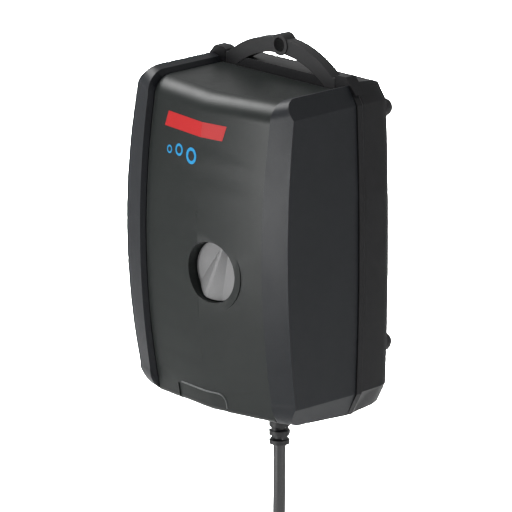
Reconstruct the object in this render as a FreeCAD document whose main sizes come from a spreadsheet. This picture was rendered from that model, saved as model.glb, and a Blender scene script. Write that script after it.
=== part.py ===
import FreeCAD, Part
import math
import os
import Sketcher

# Aquarium air pump that hangs by a rubber eyelet. Millimetres, +Z up, the front faces -Y.
# The origin is the middle of the hanger's eyelet, which carries the whole pump.

Vector = FreeCAD.Vector
doc = FreeCAD.newDocument("air_pump")

# ---------------------------------------------------------------- driving dimensions
DIMENSIONS = {
    # housing
    "body_width": 96.0,
    "body_height": 140.0,
    "cover_depth": 44.6,
    "rear_depth": 20.0,
    "eye_to_top": 9.0,
    "seam_forward": 2.5,
    "side_bow": 1.5,
    "side_draft": 1.6,
    "rear_draft": 1.6,
    "shell_wall": 2.4,
    "corner_in": 8.5,
    "corner_drop": 8.5,
    "bottom_in": 8.2,
    "bottom_rise": 10.0,
    "bow_top": 4.6,
    "bow_bottom": 7.2,
    "band_bow": 5.4,
    "front_round": 9.2,
    "foot_round": 3.0,
    "band_foot": 11.0,
    "foot_step": 0.6,
    "band_inner": 36.1,
    "band_slope": 0.30,
    "band_step": 2.0,
    "lip_width": 4.0,
    "lip_proud": 0.7,
    # front panel
    "panel_gap": 0.6,
    "panel_thick": 2.3,
    "panel_crown": 1.5,
    # knob and throttle
    "knob_right": 7.0,
    "knob_drop": 86.5,
    "knob_dia": 24.6,
    "knob_gap": 0.5,
    "knob_recess": 3.2,
    "knob_thick": 3.2,
    "rim_dia": 32.4,
    "spindle_dia": 4.0,
    "plug_dia": 6.0,
    "throttle_dia": 17.0,
    "throttle_length": 13.0,
    "running_gap": 0.05,
    # hanger
    "eye_bore": 6.0,
    "eye_outer": 9.2,
    "eye_length": 6.0,
    "strap_width": 5.0,
    "strap_thick": 6.6,
    "strap_radius": 48.0,
    "strap_top": 2.8,
    "strap_half": 31.4,
    "boss_inner": 32.0,
    "boss_rise": 2.2,
    "boss_depth": 5.4,
    # feet and screws
    "foot_dia": 8.0,
    "foot_proud": 5.2,
    "foot_flat": 0.3,
    "foot_inset": 7.8,
    "foot_top_drop": 14.0,
    "foot_low_rise": 27.0,
    "screw_dia": 3.0,
    "screw_head": 5.6,
    "screw_length": 20.0,
    "pillar_dia": 9.0,
    "pillar_inset": 11.0,
    "pillar_top_drop": 30.0,
    "pillar_low_rise": 14.0,
    # air outlet
    "outlet_left": 8.0,
    "outlet_back": 29.5,
    "hose_inner": 4.0,
    "hose_outer": 6.0,
    "barb_dia": 4.9,
    "nipple_bore": 2.4,
    "scoop_centre": 5.5,
    "scoop_half": 14.5,
    "scoop_rise": 9.5,
    "scoop_depth": 0.5,
    # pump
    "block_width": 22.0,
    "block_size": 30.0,
    "block_drop": 62.0,
    "plate_thick": 3.0,
    "bellows_dia": 24.0,
    "bellows_length": 12.0,
    "bellows_wall": 1.2,
    "arm_right": 20.0,
    "arm_thick": 3.0,
    "arm_width": 12.0,
    "pivot_drop": 34.0,
    "pivot_dia": 3.0,
    "mech_forward": 4.0,
    "magnet_length": 12.0,
    "magnet_high": 8.0,
    "core_width": 40.0,
    "core_high": 30.0,
    "core_thick": 16.0,
    "leg_width": 8.0,
    "core_gap": 2.4,
    "core_rise": 29.0,
    # filter
    "filter_width": 30.0,
    "filter_high": 22.0,
    "filter_left": 12.0,
    "filter_drop": 108.0,
    "felt_thick": 3.0,
    # mains lead
    "lead_dia": 5.3,
    "relief_dia": 9.2,
    "relief_length": 20.0,
    "coil_radius": 31.0,
    "coil_drop": 132.0,
    "plug_width": 35.3,
    "plug_thick": 13.7,
    "plug_length": 36.0,
    "pin_dia": 4.0,
    "pin_root": 3.2,
    "pin_length": 19.0,
    "pin_spacing": 18.6,
}


class Size:
    """A number together with the sheet formula that gives it."""

    def __init__(self, value, text):
        self.value = value
        self.text = text

    def __add__(self, other):
        other = as_size(other)
        return Size(self.value + other.value, f"({self.text} + {other.text})")

    def __sub__(self, other):
        other = as_size(other)
        return Size(self.value - other.value, f"({self.text} - {other.text})")

    def __mul__(self, other):
        other = as_size(other)
        return Size(self.value * other.value, f"({self.text} * {other.text})")

    def __truediv__(self, other):
        other = as_size(other)
        return Size(self.value / other.value, f"({self.text} / {other.text})")

    def __neg__(self):
        return Size(-self.value, f"(0 - {self.text})")

    def __radd__(self, other):
        return as_size(other) + self

    def __rsub__(self, other):
        return as_size(other) - self

    def __rmul__(self, other):
        return as_size(other) * self


def as_size(number):
    """A plain number as a Size."""
    return number if isinstance(number, Size) else Size(float(number), f"({float(number)})")


class Sheet:
    """The spreadsheet of driving dimensions, read as d.body_width."""

    def __init__(self, values):
        self.cells = doc.addObject("Spreadsheet::Sheet", "dims")
        self.values = values
        for row, (name, value) in enumerate(values.items(), start=1):
            self.cells.set(f"A{row}", name)
            self.cells.set(f"B{row}", str(value))
            self.cells.setAlias(f"B{row}", name)

    def __getattr__(self, name):
        return Size(self.values[name], f"dims.{name}")


d = Sheet(DIMENSIONS)
doc.recompute()

NODES = {}


def node(name, made):
    """Marks a finished object as the sub-part of that name."""
    made.Label = name
    NODES[name] = made
    return made


# ---------------------------------------------------------------- drawing helpers
def new_body(name):
    """An empty PartDesign body."""
    return doc.addObject("PartDesign::Body", name)


def sketch_on(body, name, role, offset):
    """A sketch on one of the body's own origin planes, moved along the plane's normal."""
    sketch = body.newObject("Sketcher::SketchObject", name)
    plane = [item for item in body.Origin.OriginFeatures if item.Role == role][0]
    sketch.AttachmentSupport = [(plane, "")]
    sketch.MapMode = "FlatFace"
    sketch.setExpression("AttachmentOffset.Base.z", as_size(offset).text)
    return sketch


def pin_point(sketch, geometry, position, point):
    """Holds a point of the sketch at its two coordinates."""
    for kind, length in zip(("DistanceX", "DistanceY"), point):
        index = sketch.addConstraint(Sketcher.Constraint(kind, -1, 1, geometry, position, length.value))
        sketch.setExpression(f"Constraints[{index}]", length.text)


def outline(sketch, corners, through=None):
    """A closed outline; edge i runs from corner i, as an arc where through[i] gives a point on it."""
    through = through or {}
    corners = [(as_size(u), as_size(v)) for u, v in corners]
    flat = [Vector(u.value, v.value, 0) for u, v in corners]
    starts = []
    ends = []
    for i, start in enumerate(flat):
        end = flat[(i + 1) % len(flat)]
        if i not in through:
            index = sketch.addGeometry(Part.LineSegment(start, end), False)
            starts.append((index, 1))
            ends.append((index, 2))
            continue
        middle = tuple(as_size(value) for value in through[i])
        spot = Vector(middle[0].value, middle[1].value, 0)
        index = sketch.addGeometry(Part.Arc(start, spot, end), False)
        forward = (sketch.Geometry[index].StartPoint - start).Length < 1e-6
        starts.append((index, 1 if forward else 2))
        ends.append((index, 2 if forward else 1))
        mark = sketch.addGeometry(Part.Point(spot), True)
        pin_point(sketch, mark, 1, middle)
        sketch.addConstraint(Sketcher.Constraint("PointOnObject", mark, 1, index))
    for i, (begin, corner) in enumerate(zip(starts, corners)):
        sketch.addConstraint(Sketcher.Constraint("Coincident", *ends[i - 1], *begin))
        pin_point(sketch, *begin, corner)
    return sketch


def loft(body, name, sketches):
    """A ruled loft through closed outlines that have the same number of edges."""
    made = body.newObject("PartDesign::AdditiveLoft", name)
    made.Profile = sketches[0]
    made.Sections = sketches[1:]
    made.Ruled = True
    return body


def pad(body, name, sketch, length):
    """A pad of the sketch, half to each side of its plane."""
    made = body.newObject("PartDesign::Pad", name)
    made.Profile = sketch
    made.Midplane = True
    made.setExpression("Length", as_size(length).text)
    return body


def bind(made, **sizes):
    """Ties properties of an object to the sheet."""
    for prop, length in sizes.items():
        made.setExpression(prop, as_size(length).text)


TURNS = {
    "+z": FreeCAD.Rotation(),
    "-z": FreeCAD.Rotation(Vector(1, 0, 0), 180),
    "+y": FreeCAD.Rotation(Vector(1, 0, 0), -90),
    "-y": FreeCAD.Rotation(Vector(1, 0, 0), 90),
    "+x": FreeCAD.Rotation(Vector(0, 1, 0), 90),
    "-x": FreeCAD.Rotation(Vector(0, 1, 0), -90),
}


def place(made, at, turn="+z"):
    """Puts an object at a point, with its own Z along the named direction."""
    at = [as_size(value) for value in at]
    spot = Vector(*[value.value for value in at])
    rotation = TURNS[turn] if isinstance(turn, str) else turn
    made.Placement = FreeCAD.Placement(spot, rotation)
    for letter, value in zip("xyz", at):
        made.setExpression(f"Placement.Base.{letter}", value.text)
    return made


def rod(name, dia, length, at, turn="+z"):
    """A round bar that starts at a point and runs along a direction."""
    made = doc.addObject("Part::Cylinder", name)
    bind(made, Radius=as_size(dia) / 2, Height=length)
    return place(made, at, turn)


def taper(name, dia_start, dia_end, length, at, turn="+z"):
    """A tapered bar that starts at a point and runs along a direction."""
    made = doc.addObject("Part::Cone", name)
    bind(made, Radius1=as_size(dia_start) / 2, Radius2=as_size(dia_end) / 2, Height=length)
    return place(made, at, turn)


def block(name, low, high):
    """A box between two corners."""
    made = doc.addObject("Part::Box", name)
    low = [as_size(value) for value in low]
    high = [as_size(value) for value in high]
    bind(made, Length=high[0] - low[0], Width=high[1] - low[1], Height=high[2] - low[2])
    return place(made, low)


def ring(name, centre_radius, wire_radius, at, turn="+z"):
    """A torus."""
    made = doc.addObject("Part::Torus", name)
    bind(made, Radius1=centre_radius, Radius2=wire_radius)
    return place(made, at, turn)


def ball(name, radius, at):
    """A sphere."""
    made = doc.addObject("Part::Sphere", name)
    bind(made, Radius=radius)
    return place(made, at)


def fuse(name, *pieces):
    """The pieces joined as one."""
    made = doc.addObject("Part::MultiFuse", name)
    made.Shapes = list(pieces)
    made.Refine = True
    return made


def cut(name, base, *tools):
    """The base less the tools."""
    made = doc.addObject("Part::Cut", name)
    made.Base = base
    made.Tool = tools[0] if len(tools) == 1 else fuse(name + "_tools", *tools)
    made.Refine = True
    return made


def common(name, first, second):
    """What two solids share."""
    made = doc.addObject("Part::Common", name)
    made.Base = first
    made.Tool = second
    made.Refine = True
    return made


def rounded(name, base, radius, wanted):
    """Fillets the edges for which wanted(edge, middle of its box) holds."""
    doc.recompute()
    chosen = []
    for index, edge in enumerate(base.Shape.Edges, start=1):
        if wanted(edge, edge.BoundBox.Center):
            chosen.append((index, radius, radius))
    made = doc.addObject("Part::Fillet", name)
    made.Base = base
    made.Edges = chosen
    doc.recompute()
    return made


def group(name, pieces):
    """Separate like solids kept in one object."""
    made = doc.addObject("Part::Compound", name)
    made.Links = list(pieces)
    return made


# ---------------------------------------------------------------- places that the pieces share
seam_y = -d.seam_forward
front_y = seam_y - d.cover_depth
back_y = seam_y + d.rear_depth
top_z = -d.eye_to_top
bottom_z = top_z - d.body_height
middle_z = (top_z + bottom_z) / 2
half_width = d.body_width / 2
panel_half = d.band_inner - d.band_step * 0.6 - d.panel_gap
recess_half = panel_half + d.panel_gap
floor_inset = d.band_step + d.panel_thick
inner_back_y = back_y - d.shell_wall
knob_z = -d.knob_drop
mech_y = -d.mech_forward
arm_x = d.arm_right
block_z = -d.block_drop


# ---------------------------------------------------------------- housing outlines
def front_outline(y, half, inset):
    """The housing seen from the front, at one depth: a wire with bowed sides and cut corners."""
    y, half, inset = [as_size(value).value for value in (y, half, inset)]
    crest = half_width.value - d.corner_in.value - inset * 0.5
    low_x = half_width.value - d.bottom_in.value - inset * 0.5
    side = half - d.side_bow.value - inset
    high = top_z.value - inset
    low = bottom_z.value + inset
    side_high = high - d.corner_drop.value + inset * 0.6
    side_low = low + d.bottom_rise.value - inset * 0.6

    def at(x, z):
        return Vector(x, y, z)

    edges = [Part.LineSegment(at(-crest, high), at(crest, high)),
             Part.LineSegment(at(crest, high), at(side, side_high)),
             Part.Arc(at(side, side_high), at(half - inset, middle_z.value), at(side, side_low)),
             Part.LineSegment(at(side, side_low), at(low_x, low)),
             Part.LineSegment(at(low_x, low), at(-low_x, low)),
             Part.LineSegment(at(-low_x, low), at(-side, side_low)),
             Part.Arc(at(-side, side_low), at(inset - half, middle_z.value), at(-side, side_high)),
             Part.LineSegment(at(-side, side_high), at(-crest, high))]
    return Part.Wire([edge.toShape() for edge in edges])


def front_form(name, stations, inset):
    """A solid through the front outlines at several depths; its sides are too flat for sketched arcs."""
    made = doc.addObject("Part::Feature", name)
    made.Shape = Part.makeLoft([front_outline(y, half, inset) for y, half in stations], True, True)
    return made


def side_outline(body, name, x, inset, low_inset, shift=0.0, rise=0.0, crown=0.0,
                 foot=d.foot_round, low_bow=d.bow_bottom):
    """The front cover seen from the side: a bowed front, a round top edge and flat ends."""
    inset = as_size(inset)
    shift = as_size(shift)
    front = front_y + inset + shift
    high = top_z - 2.2 - inset + as_size(rise)
    low = bottom_z + low_inset
    top_back = front + d.bow_top + shift * 0.25
    low_back = front + low_bow + shift * 0.25
    round_size = d.front_round
    sketch = sketch_on(body, name, "YZ_Plane", x)
    return outline(sketch, [
        (seam_y, high),
        (top_back + round_size, high),
        (top_back, high - round_size),
        (low_back, low + foot + 1.4),
        (low_back + foot, low + 1.4),
        (seam_y, low),
    ], {
        1: (top_back + round_size * 0.30, high - round_size * 0.27),
        2: (front - as_size(crown), middle_z - 3),
        3: (low_back + foot * 0.26, low + 1.4 + foot * 0.30),
    })


# ---------------------------------------------------------------- front cover
cover_stations = [(front_y - 3, half_width + 0.1), (seam_y, half_width - d.side_draft)]


def make_cover_form():
    """The outside of the front cover: side bands stand proud of a sunk middle."""
    body = new_body("cover_side_form")
    far = half_width + 4
    far_shift = (far - d.band_inner) * d.band_slope
    far_rise = (far - d.band_inner) * 0.28
    sketches = []
    for sign, tag in ((-1, "left"), (1, "right")):
        steps = [
            side_outline(body, f"cover_far_{tag}", sign * far, 0, 0, far_shift, far_rise,
                         foot=d.band_foot, low_bow=d.band_bow),
            side_outline(body, f"cover_band_{tag}", sign * d.band_inner, 0, 0,
                         foot=d.band_foot, low_bow=d.band_bow),
            side_outline(body, f"cover_sunk_{tag}", sign * recess_half, d.band_step, d.foot_step),
        ]
        sketches += steps if sign < 0 else steps[::-1]
    side_form = loft(body, "cover_side_loft", sketches)
    return common("cover_form", side_form, front_form("cover_front_form", cover_stations, 0))


def make_cover_hollow():
    """The room inside the front cover."""
    wall_inset = floor_inset + d.shell_wall
    body = new_body("cover_hollow_side")
    sketch = side_outline(body, "cover_hollow_profile", 0, wall_inset, d.foot_step + d.shell_wall)
    side_form = pad(body, "cover_hollow_pad", sketch, d.body_width)
    return common("cover_hollow", side_form, front_form("cover_hollow_front", cover_stations, d.shell_wall))


def panel_room(name, half, inset, low_inset, crown=0.0):
    """A bar of the side outline, as wide as the panel or its recess."""
    body = new_body(name)
    sketch = side_outline(body, name + "_profile", 0, inset, low_inset, crown=crown)
    return pad(body, name + "_pad", sketch, half * 2)


pillar_spots = [
    (sign * (half_width - d.pillar_inset), z)
    for z in (top_z - d.pillar_top_drop, bottom_z + d.pillar_low_rise)
    for sign in (-1, 1)
]
thread_dia = d.screw_dia - 0.1
screw_seat_y = back_y - 11.5
screw_tip_y = screw_seat_y - d.screw_length

cover_form = make_cover_form()
recess = cut(
    "panel_recess",
    block("recess_block", (-recess_half, front_y - 5, bottom_z - 5), (recess_half, seam_y + 1, top_z + 5)),
    panel_room("recess_floor", half_width, floor_inset, 0),
)
cover_shell = cut("cover_shell", cover_form, make_cover_hollow(), recess)
well_dia = d.knob_dia + 2 * d.knob_gap + 0.6
well_floor_y = front_y + d.knob_recess + d.knob_thick + 1.3
cover_parts = [cover_shell]
cover_parts.append(rod("knob_well", well_dia + 2 * d.shell_wall, d.knob_thick + 2.6,
                       (d.knob_right, well_floor_y + d.shell_wall, knob_z), "-y"))
for i, (x, z) in enumerate(pillar_spots):
    post_length = -screw_tip_y + seam_y + 3
    cover_parts.append(rod(f"cover_post_{i}", d.pillar_dia - 1.5, post_length + 22, (x, seam_y, z), "-y"))
posts_in = fuse("cover_body_raw", *cover_parts)
trimmed = common("cover_body", posts_in, cover_form)
nipple_seat_z = bottom_z + d.scoop_rise
scoop_pocket = block(
    "outlet_pocket",
    (-d.outlet_left - 6, -d.outlet_back - 4.2, bottom_z - 1),
    (-d.outlet_left + 6, -d.outlet_back + 6, nipple_seat_z),
)
pocket_wall = block(
    "outlet_pocket_wall",
    (-d.outlet_left - 6 - d.shell_wall, -d.outlet_back - 5, bottom_z + 1.5),
    (-d.outlet_left + 6 + d.shell_wall, -d.outlet_back + 6 + d.shell_wall, nipple_seat_z + d.shell_wall),
)
nipple_hole = rod("nipple_hole", d.barb_dia + 1.2, d.shell_wall + 2,
                  (-d.outlet_left, -d.outlet_back, nipple_seat_z - 1))
knob_pocket = rod("knob_pocket", well_dia, d.knob_recess + d.knob_thick + 6,
                  (d.knob_right, well_floor_y, knob_z), "-y")
spindle_hole = rod("spindle_hole", d.plug_dia + 2.6, 12, (d.knob_right, well_floor_y + 6, knob_z), "-y")
relief_hole_front = rod("relief_hole_front", d.relief_dia - 1.6, 12, (0, seam_y, bottom_z - 4))
pilot_holes = [
    rod(f"pilot_{i}", thread_dia, d.screw_length + 2, (x, screw_tip_y - 1, z), "+y")
    for i, (x, z) in enumerate(pillar_spots)
]
cover_cut = cut(
    "cover_cut", fuse("cover_with_pocket", trimmed, common("pocket_wall_in", pocket_wall, cover_form)),
    recess, scoop_pocket, nipple_hole, knob_pocket, spindle_hole, relief_hole_front, *pilot_holes,
)
node("front_cover", cover_cut)


# ---------------------------------------------------------------- front panel
def make_panel():
    """The sunk middle panel: bowed front, tilted side strips, flat ring round the knob."""
    body = new_body("panel_wedge")
    inset = d.band_step
    ridge = -(panel_half * 0.12)
    sections = [
        side_outline(body, "wedge_left", -panel_half, inset, d.foot_step),
        side_outline(body, "wedge_middle", 0, inset, d.foot_step, ridge),
        side_outline(body, "wedge_right", panel_half, inset, d.foot_step),
    ]
    wedge = loft(body, "panel_wedge_loft", sections)
    bowed = panel_room("panel_bow", panel_half, inset - 0.3, d.foot_step, d.panel_crown - 0.3)
    outside = common("panel_outside", wedge, bowed)
    ring_y = front_y + 0.35
    rim = rod("knob_rim", d.rim_dia, 3.4, (d.knob_right, ring_y + 3.4, knob_z), "-y")
    inside = panel_room("panel_inside", half_width, floor_inset, 0)
    return cut("panel_shell", fuse("panel_with_rim", outside, rim), inside)


panel_shell = make_panel()
knob_hole = rod("knob_hole", d.knob_dia + 2 * d.knob_gap, 20, (d.knob_right, front_y + 12, knob_z), "-y")
scoop_body = new_body("panel_scoop")
scoop_sketch = outline(sketch_on(scoop_body, "scoop_profile", "YZ_Plane", -d.scoop_centre), [
    (front_y - 6, bottom_z - 6),
    (front_y - 6, bottom_z + d.scoop_rise),
    (front_y + d.bow_bottom + d.band_step - 0.6, bottom_z + d.scoop_rise),
    (front_y + d.bow_bottom + d.band_step + 0.45, bottom_z + 5.0),
    (front_y + d.bow_bottom + d.band_step + 1.2, bottom_z + 3.3),
    (front_y + d.bow_bottom + d.band_step + 2.4, bottom_z + 2.7),
    (front_y + d.bow_bottom + d.band_step + 2.4, bottom_z - 6),
])
scoop_block = pad(scoop_body, "scoop_pad", scoop_sketch, d.scoop_half * 2)
scoop_floor = doc.addObject("Part::Compound", "scoop_floor")
scoop_floor.Links = [doc.getObject("panel_outside")]
place(scoop_floor, (0, d.scoop_depth, 0))
panel_scoop = cut("scoop_skin", scoop_block, scoop_floor)
node("front_panel", cut("panel_cut", panel_shell, knob_hole, panel_scoop))


# ---------------------------------------------------------------- rear housing
rear_half = half_width - d.side_draft
rear_stations = [
    (seam_y, rear_half + d.lip_proud),
    (seam_y + d.lip_width - 1.2, rear_half + d.lip_proud),
    (seam_y + d.lip_width, rear_half - 0.5),
    (back_y - 4.5, rear_half - d.rear_draft * 0.5),
    (back_y - 1.4, rear_half - d.rear_draft),
    (back_y, rear_half - d.rear_draft - 3.2),
]
rear_insets = [0.0, 0.0, 0.4, 1.6, 2.6, 5.6]


def rear_form(name, stations, insets):
    """The rear shell's shape: the front outline drawn in towards the back."""
    made = doc.addObject("Part::Feature", name)
    wires = [front_outline(y, as_size(half) + inset, inset) for (y, half), inset in zip(stations, insets)]
    made.Shape = Part.makeLoft(wires, True, True)
    return made


hollow_stations = [
    (seam_y - 1, rear_half - d.shell_wall),
    (seam_y + d.lip_width + 1, rear_half - d.shell_wall - 0.6),
    (inner_back_y, rear_half - d.shell_wall - d.rear_draft * 0.8),
]
rear_outside = rear_form("rear_outside", rear_stations, rear_insets)
rear_hollow = rear_form("rear_hollow", hollow_stations, [d.shell_wall.value] * 2 + [d.shell_wall.value + 1.4])
boss_top_z = top_z + d.boss_rise
slot_half = d.strap_width / 2


def hanger_boss(sign):
    """A raised shoulder on top of the rear shell that holds one end of the hanger."""
    tag = "left" if sign < 0 else "right"
    body = new_body(f"boss_{tag}")
    inner = sign * d.boss_inner
    outer = sign * (half_width - d.corner_in + 5.2)
    sketch = outline(sketch_on(body, f"boss_{tag}_profile", "XZ_Plane", -(seam_y + d.boss_depth / 2)), [
        (inner - sign * 3, top_z - d.shell_wall),
        (inner, boss_top_z - 0.8),
        (inner + sign * 2, boss_top_z),
        (outer - sign * 6, boss_top_z),
        (outer, top_z - 4.5),
        (outer - sign * 4, top_z - d.shell_wall - 2.4),
    ])
    return pad(body, f"boss_{tag}_pad", sketch, d.boss_depth)


pillars = []
pillar_holes = []
for i, (x, z) in enumerate(pillar_spots):
    pillars.append(rod(f"pillar_{i}", d.pillar_dia, d.rear_depth - 1, (x, seam_y, z), "+y"))
    pillar_holes.append(rod(f"screw_hole_{i}", d.screw_dia + 0.4, d.rear_depth, (x, seam_y - 1, z), "+y"))
    pillar_holes.append(rod(f"head_hole_{i}", d.screw_head + 0.6, 20, (x, screw_seat_y, z), "+y"))
foot_spots = [
    (sign * (half_width - d.foot_inset - 2), z)
    for z in (top_z - d.foot_top_drop, bottom_z + d.foot_low_rise)
    for sign in (-1, 1)
]
foot_holes = [
    rod(f"foot_hole_{i}", 3.4, 8, (x, inner_back_y - 3, z), "+y") for i, (x, z) in enumerate(foot_spots)
]
core_bottom_z = bottom_z + d.core_rise
core_left_x = arm_x - d.core_width / 2
core_right_x = arm_x + d.core_width / 2
core_back_y = mech_y + d.core_thick / 2
core_front_y = mech_y - d.core_thick / 2
core_screw_spots = [(core_left_x + d.leg_width / 2, core_bottom_z + d.leg_width / 2),
                    (core_right_x - d.leg_width / 2, core_bottom_z + d.leg_width / 2)]
core_posts = []
core_post_holes = []
for i, (x, z) in enumerate(core_screw_spots):
    core_posts.append(rod(f"core_post_{i}", 6.4, back_y - core_back_y - 1, (x, core_back_y, z), "+y"))
    core_post_holes.append(rod(f"core_post_hole_{i}", d.screw_dia - 0.1, 9, (x, core_back_y - 1, z), "+y"))
bracket_y = mech_y + d.arm_width / 2 + 1.2
bracket_thick = 2.4
pivot_z = -d.pivot_drop
bracket_post_spots = [(arm_x - 9, pivot_z + 1), (arm_x + 9, pivot_z + 1)]
for i, (x, z) in enumerate(bracket_post_spots):
    start_y = bracket_y + bracket_thick
    core_posts.append(rod(f"bracket_post_{i}", 6.0, back_y - start_y - 1, (x, start_y, z), "+y"))
    core_post_holes.append(rod(f"bracket_post_hole_{i}", 2.4, 7, (x, start_y - 1, z), "+y"))
pump_block_x = arm_x - d.arm_thick / 2 - d.bellows_length - d.plate_thick
block_back_y = mech_y + d.block_size / 2
block_posts = [
    rod(f"block_post_{i}", 6.4, back_y - block_back_y - 1, (pump_block_x - d.block_width / 2, block_back_y, z), "+y")
    for i, z in enumerate((block_z - 9, block_z + 9))
]
filter_low = (-d.filter_left - d.filter_width / 2, -d.filter_drop - d.filter_high / 2)
filter_high = (-d.filter_left + d.filter_width / 2, -d.filter_drop + d.filter_high / 2)
filter_room = block("filter_room", (filter_low[0], back_y - 1.6 - d.felt_thick, filter_low[1]),
                    (filter_high[0], back_y + 1, filter_high[1]))
filter_box = block("filter_box", (filter_low[0] - 1.8, back_y - 3.4 - d.felt_thick, filter_low[1] - 1.8),
                   (filter_high[0] + 1.8, back_y - 1.0, filter_high[1] + 1.8))
air_holes = [
    rod(f"air_hole_{i}", 2.6, 8, (-d.filter_left + (i - 2) * 5.0, back_y - 5.6 - d.felt_thick, -d.filter_drop), "+y")
    for i in range(5)
]
bosses = [hanger_boss(sign) for sign in (-1, 1)]
rear_solid = cut("rear_shell", rear_outside, rear_hollow)
seam_web = block("seam_web", (-half_width, seam_y, top_z - floor_inset - d.shell_wall - 3),
                 (half_width, seam_y + d.shell_wall, top_z))
inner_parts = common("rear_inner",
                     fuse("rear_inner_raw", seam_web, *pillars, *core_posts, *block_posts, filter_box),
                     rear_outside)
strap_middle_z = d.strap_top - d.strap_radius


def strap_shape(name, width, outer_radius, thick, half, lift=0.0):
    """A bowed strap: a thick ring, seen from the front, cut to length at both ends."""
    big = rod(name + "_outer", outer_radius * 2, width, (0, -as_size(width) / 2, strap_middle_z), "+y")
    small = rod(name + "_inner", (outer_radius - thick) * 2, as_size(width) + 2,
                (0, -as_size(width) / 2 - 1, strap_middle_z), "+y")
    window = block(name + "_window", (-as_size(half), -10, top_z - 8 + as_size(lift)), (half, 10, 12))
    return common(name + "_bow", cut(name + "_ring", big, small), window)


strap_slot = strap_shape("strap_slot", d.strap_width + 6, d.strap_radius + 0.15, d.strap_thick + 0.3,
                         d.strap_half + 0.3)
strap_room = cut("strap_room", strap_slot,
                 block("strap_room_back", (-60, slot_half + 0.1, -60), (60, 30, 30)))
anchor_room = [
    block(f"anchor_room_{i}", (sign * (d.strap_half - 1.5) - 2.7, -12, top_z - 6.2),
          (sign * (d.strap_half - 1.5) + 2.7, slot_half + 0.1, top_z + 0.9))
    for i, sign in enumerate((-1, 1))
]
relief_hole_rear = rod("relief_hole_rear", d.relief_dia - 1.6, 12, (0, seam_y, bottom_z - 4))
rear_housing = cut("rear_cut", fuse("rear_body", rear_solid, inner_parts, *bosses),
                   filter_room, strap_room, relief_hole_rear,
                   *anchor_room, *air_holes, *pillar_holes, *foot_holes, *core_post_holes)
node("rear_housing", rear_housing)


# ---------------------------------------------------------------- hanger
def make_hanger():
    """A rubber bow with an eyelet in its middle and an anchor at each end."""
    bow = strap_shape("strap", d.strap_width, d.strap_radius, d.strap_thick, d.strap_half)
    eye_hub = rod("eye_hub", d.eye_outer, d.eye_length, (0, -d.eye_length / 2, 0), "+y")
    anchors = [
        block(f"anchor_{i}", (sign * (d.strap_half - 1.5) - 2.4, -slot_half, top_z - 5.6),
              (sign * (d.strap_half - 1.5) + 2.4, slot_half, top_z + 0.6))
        for i, sign in enumerate((-1, 1))
    ]
    bore = rod("eye_bore", d.eye_bore, d.eye_length + 2, (0, -d.eye_length / 2 - 1, 0), "+y")
    return cut("hanger_cut", fuse("hanger_body", bow, eye_hub, *anchors), bore)


node("hanger", make_hanger())


# ---------------------------------------------------------------- feet, screws
def foot(i, x, z):
    """A rubber dome, flat at its tip, with a barbed stem pushed through the rear wall."""
    dome_y = back_y + d.foot_proud + d.foot_flat - d.foot_dia / 2
    tip = block(f"foot_tip_{i}", (x - 6, back_y + d.foot_proud, z - 6), (x + 6, back_y + d.foot_proud + 5, z + 6))
    parts = [
        rod(f"foot_barrel_{i}", d.foot_dia, dome_y - back_y, (x, back_y, z), "+y"),
        ball(f"foot_dome_{i}", d.foot_dia / 2, (x, dome_y, z)),
        rod(f"foot_stem_{i}", 3.3, d.shell_wall, (x, inner_back_y, z), "+y"),
        taper(f"foot_barb_{i}", 4.6, 3.0, 2.0, (x, inner_back_y, z), "-y"),
    ]
    whole = fuse(f"foot_raw_{i}", *parts)
    inside = block(f"foot_trim_{i}", (x - 6, inner_back_y, z - 6), (x + 6, back_y, z + 6))
    keep = rod(f"foot_keep_{i}", 3.3, d.shell_wall, (x, inner_back_y, z), "+y")
    return fuse(f"foot_{i}", cut(f"foot_trimmed_{i}", whole, inside, tip), keep)


node("rubber_feet", group("feet", [foot(i, x, z) for i, (x, z) in enumerate(foot_spots)]))


def screw(tag, dia, head, length, at, turn, head_high=2.0):
    """A pan-head screw with a cross slot; at is the seat under its head, turn points to the tip."""
    back = {"-y": "+y", "+y": "-y", "+x": "-x", "-x": "+x", "-z": "+z", "+z": "-z"}[turn]
    shank = rod(f"{tag}_shank", dia, as_size(length) - 1.2, at, turn)
    axis = TURNS[turn].multVec(Vector(0, 0, 1))
    tip_at = [as_size(value) + axis[k] * (as_size(length) - 1.2) for k, value in enumerate(at)]
    tip = taper(f"{tag}_tip", dia, as_size(dia) * 0.35, 1.2, tip_at, turn)
    cap = rod(f"{tag}_cap", head, head_high, at, back)
    slot_depth = 1.1
    slots = []
    for k in range(3):
        if abs(axis[k]) > 0.5:
            along = k
    for k in range(3):
        if k == along:
            continue
        half = [as_size(0.35)] * 3
        half[k] = as_size(head) * 0.32
        half[along] = as_size(slot_depth)
        centre = [as_size(value) - axis[j] * as_size(head_high) for j, value in enumerate(at)]
        slots.append(block(f"{tag}_slot_{k}", [c - h for c, h in zip(centre, half)],
                           [c + h for c, h in zip(centre, half)]))
    return cut(tag, fuse(f"{tag}_raw", shank, tip, cap), *slots)


node("housing_screws", group("housing_screw_set", [
    screw(f"housing_screw_{i}", d.screw_dia, d.screw_head, d.screw_length, (x, screw_seat_y, z), "-y")
    for i, (x, z) in enumerate(pillar_spots)
]))

# ---------------------------------------------------------------- knob, spindle and throttle
knob_face_y = front_y + d.knob_recess
knob_back_y = knob_face_y + d.knob_thick
grip_top_y = front_y + 1.0


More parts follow.
